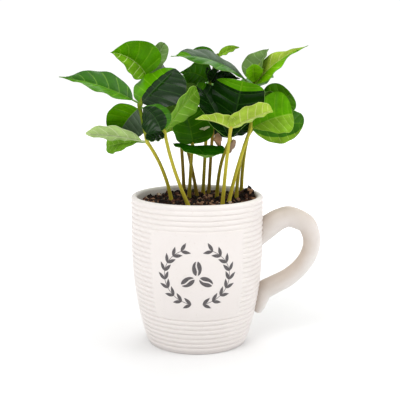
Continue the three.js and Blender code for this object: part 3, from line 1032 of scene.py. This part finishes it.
def leafBlade(at, traits, draw):  # the blade's middle sheet, with its rows, their veins and its lanes
    along, veins = leafRows(traits["veins"])
    half = np.array(leaf["columns"])
    lanes = np.concatenate([-half[:0:-1], half])
    out = np.abs(lanes)[None, :]
    share = along[:, None] + leaf["veinLean"] * out ** leaf["veinCurve"] * (along * (1 - along))[:, None]
    centre, side, top = midrib(at, traits, share)
    reach = out * halfWidth(traits, share)
    lift = np.radians(traits["fold"] + traits["curl"] * out / 2)
    sideways = np.sign(lanes) * reach * np.cos(lift)
    points = centre + side * sideways[..., None] + top * (reach * np.sin(lift))[..., None]
    ends = np.sqrt(np.sin(math.pi * np.clip(along, 0, 1)))[:, None]
    swollen = np.abs(np.sin(math.pi * veins))[:, None] ** leaf["fieldPower"]
    raised = traits["quilt"] * swollen * ends * (1 - np.exp(-reach / leaf["fieldStart"]))
    raised *= 1 - leaf["fieldDrop"] * out ** 3
    grooved = leaf["groove"] * np.exp(-(reach / leaf["grooveWidth"]) ** 2) * ends
    phase = draw.random(2) * 2 * math.pi
    wave = np.sin(2 * math.pi * leaf["waves"] * share + np.where(lanes < 0, phase[0], phase[1])[None, :])
    waved = traits["wave"] * out ** leaf["wavePower"] * wave * ends
    points = points + gridNormals(points) * (raised - grooved + waved)[..., None]
    return points, along, veins, lanes


# a rim is a band of painted light along one side or the tip of a blade
def inPaintedLightBand(rim, lane, share):
    if not rim:
        return False
    _, side, start = rim
    return {"tip": share, "left": -lane, "right": lane}[side] > start


def addBlade(shape, points, along, veins, lanes, rim, paints):  # both faces of a thin blade, and its border
    rows, columns = points.shape[:2]
    total = rows * columns
    faces = []
    colours = []
    for row in range(rows - 1):
        onVein = (veins[row] + leaf["veinShare"] * 1.5) % 1 < leaf["veinShare"] * 2 and 0 < row < rows - 2
        for column in range(columns - 1):
            middle = (lanes[column] + lanes[column + 1]) / 2
            inVein = abs(middle) < leaf["columns"][1] or (onVein and abs(middle) < leaf["veinEnd"])
            part = "vein" if inVein else "lamina"
            half = "left" if middle < 0 else "right"
            # faces in the band of painted light take the rim tone
            if inPaintedLightBand(rim, middle, along[row]):
                half = "rim"
            first = row * columns + column
            quad = (first, first + columns, first + columns + 1, first + 1)
            faces.append(quad)
            colours.append(paints[half, part])
            faces.append(tuple(total + i for i in reversed(quad)))
            colours.append(paints["under", part])
    grid = np.arange(total).reshape(rows, columns)
    border = [*grid[:, 0], *grid[-1, 1:], *grid[-2::-1, -1], *grid[0, -2:0:-1]]
    for a, b in zip(border, border[1:] + border[:1]):
        faces.append((b, a, total + a, total + b))
        colours.append(paints["under", "vein"])
    normals = gridNormals(points) * leaf["thick"] / 2
    shape.take(np.concatenate([points + normals, points - normals]), faces, colours)


def addStalk(shape, at, points, paint):  # from the node, and on as a rib under the blade
    columns = points.shape[1]
    middle = points[:, columns // 2]
    normals = gridNormals(points)[:, columns // 2]
    last = int(len(middle) * leaf["ribEnd"])
    rib = middle[:last] - normals[:last] * leaf["ribDrop"]
    stalk = np.linspace(at, rib[0], leaf["stalkSteps"], endpoint=False)
    radii = np.concatenate([np.linspace(leaf["stalkRadius"], leaf["neckRadius"], len(stalk)),
                            np.linspace(leaf["ribRadius"], leaf["ribTip"], len(rib) - 1)])
    shape.take(*tube(np.vstack([stalk, rib[1:]]), radii, leaf["stalkSides"]), paint)


def addLeaf(shape, at, traits, order, draw):
    top = traits["top"]
    rim = traits["rim"]
    # the rim tone and a right half's own tone are painted light and shade on the blade
    tones = {"left": top, "right": traits.get("right", top), "rim": rim[0] if rim else top,
             "under": traits["under"]}
    paints = {(half, part): order[tone, part] for half, tone in tones.items() for part in leaf["parts"]}
    points, along, veins, lanes = leafBlade(at, traits, draw)
    addBlade(shape, points, along, veins, lanes, rim, paints)
    addStalk(shape, at, points, paints["under", "vein"])


def makeLeaves():
    finishes = []
    order = {}
    for tone, (*colours, rough, shine) in leaf["tones"].items():
        for part, colour in zip(leaf["parts"], colours):
            order[tone, part] = len(finishes)
            finishes.append(leafFinish(tone + " leaf " + part, tint(*colour), rough, shine))
    draw = np.random.default_rng(leaf["seed"])
    total = 0
    for seedling in seedlings:
        shape = Shape()
        for node in seedling["nodes"]:
            for traits in node["leaves"]:
                addLeaf(shape, node["at"], traits, order, draw)
        used = sorted(set(shape.paints))
        shape.paints = [used.index(paint) for paint in shape.paints]
        mass = "leaves_" + seedling["name"]
        shape.dress(mass + "_fine", "leaf", [finishes[i] for i in used], [mass], sharp=60)
        total += len(shape.faces)
    print("leaves:", total, "faces")


makeLeaves()


# Dry seed husks caught among the stems

husk = {
    "tones": (tint(190, 146, 112), tint(124, 102, 82), tint(226, 224, 186)),
    "rough": 0.5,
    "shine": 0.2,
    "steps": 13,
    "end": 0.06,
    "endPower": 0.6,  # lower makes the ends blunter
    "crumple": 0.45,
    "seed": 4,
    "places": [  # where, length, width, half the wrap and turns in degrees, tone
        dict(at=(13.6, -6, 140), length=8.4, width=6.4, wrap=62, turns=(10, 12, 200), tone=0),
        dict(at=(22.6, -8.4, 136.2), length=9.0, width=5.4, wrap=60, turns=(4, -26, 205), tone=1),
        dict(at=(5.2, -3.2, 147.6), length=6.4, width=1.3, wrap=150, turns=(0, 80, 0), tone=2),
    ],
}


def makeHusks():
    noise.seed_set(husk["seed"])  # noise_vector follows it
    shape = Shape()
    along = np.linspace(0, 1, husk["steps"])
    lanes = np.linspace(-1, 1, husk["steps"])
    noVein = np.full(husk["steps"], 0.5)  # every row lies halfway between veins
    bulge = np.sin(math.pi * (husk["end"] + (1 - 2 * husk["end"]) * along))[:, None] ** husk["endPower"]
    for one in husk["places"]:
        turn = math.radians(one["wrap"]) * lanes[None, :]
        away = one["width"] / 2 * bulge
        rise = one["length"] * (along[:, None] - 0.5) + 0 * turn
        points = np.stack([away * np.sin(turn), away * np.cos(turn), rise], -1)
        points += [[noise.noise_vector(Vector(point) * husk["crumple"]) for point in row] for row in points]
        spin = np.array(Euler([math.radians(angle) for angle in one["turns"]]).to_matrix())
        paints = {(half, part): one["tone"] for half in ("left", "right", "under") for part in leaf["parts"]}
        addBlade(shape, points @ spin.T + one["at"], along, noVein, lanes, None, paints)
    finishes = [leafFinish("dry husk", tone, husk["rough"], husk["shine"]) for tone in husk["tones"]]
    shape.dress("seedHusks", "stem", finishes)
    print("husks:", len(husk["places"]))


makeHusks()


# Studio, in metres

studio = {
    "floor": (tint(229, 229, 229), tint(234, 234, 234)),
    "grain": (3.0, 3.0, 0.5),
    "rough": 0.9,
    "shine": 0.1,
    "glow": 0.4,  # the far paper's own light, which keeps it white out to its edge
    "glowSpan": (0.04, 0.4),
    "size": 6.0,
    "horizon": 0.55,
    "zenith": 1.1,
    "skySpan": (0.1, 1.0),
    "dim": 0.5,  # the studio's front, behind the camera, is darker
    "dimSpan": (0.6, 0.95),
    "shown": 1.05,
    "aim": (0.0, 0.0, 0.12),
    "lights": {
        "key": dict(place=(-0.5, -0.8, 1.1), size=0.7, power=7.4),
        "fill": dict(place=(1.0, -0.25, 0.7), size=0.8, power=4.0),
        "back": dict(place=(0.35, 0.9, 1.2), size=1.0, power=6.0),
    },
}


def makeFloor():
    half = studio["size"] / 2
    mesh = bpy.data.meshes.new("floor")
    corners = [(-half, -half, 0), (half, -half, 0), (half, half, 0), (-half, half, 0)]
    mesh.from_pydata(corners, [], [(0, 1, 2, 3)])
    paper = Finish("studio paper", studio["shine"])
    paper.set("Roughness", studio["rough"])
    paper.set("Base Color", paper.mix(paper.grain(*studio["grain"]), *studio["floor"]))
    away = paper.add("ShaderNodeVectorMath", {0: paper.place()}, "Value", operation="LENGTH")
    paper.set("Emission Color", paper.span(away, *studio["glowSpan"], "SMOOTHSTEP"))
    paper.set("Emission Strength", studio["glow"])
    mesh.materials.append(paper.material)
    floor = placed("floor", mesh)


def makeSky():
    world = bpy.data.worlds.new("studio")
    world.use_nodes = True
    sheet = Sheet(world.node_tree)
    shown = sheet.add("ShaderNodeLightPath", out="Is Camera Ray")
    way = sheet.add("ShaderNodeTexCoord", out="Generated")
    front = 0 - sheet.add("ShaderNodeSeparateXYZ", {0: way}, "Y")
    height = sheet.add("ShaderNodeSeparateXYZ", {0: way}, "Z")
    over = sheet.span(height, *studio["skySpan"], "SMOOTHSTEP")
    dark = sheet.span(front, *studio["dimSpan"], "SMOOTHSTEP")
    light = between(studio["horizon"], studio["zenith"], over) * between(1, studio["dim"], dark)
    strength = between(light, studio["shown"], shown)
    sky = sheet.add("ShaderNodeBackground", {"Color": (1, 1, 1, 1), "Strength": strength})
    output = world.node_tree.nodes.new("ShaderNodeOutputWorld")
    world.node_tree.links.new(sky.socket, output.inputs["Surface"])
    bpy.context.scene.world = world


def softbox(name, place, size, power):
    light = bpy.data.lights.new(name, "AREA")
    light.size = size
    light.energy = power
    lamp = placed(name, light)
    lamp.location = place
    lamp.rotation_euler = (Vector(studio["aim"]) - Vector(place)).to_track_quat("-Z", "Y").to_euler()


def makeStudio():
    makeFloor()
    makeSky()
    for name, values in studio["lights"].items():
        softbox(name, **values)
    bpy.context.scene.view_settings.view_transform = "Standard"
    print("studio set")


makeStudio()
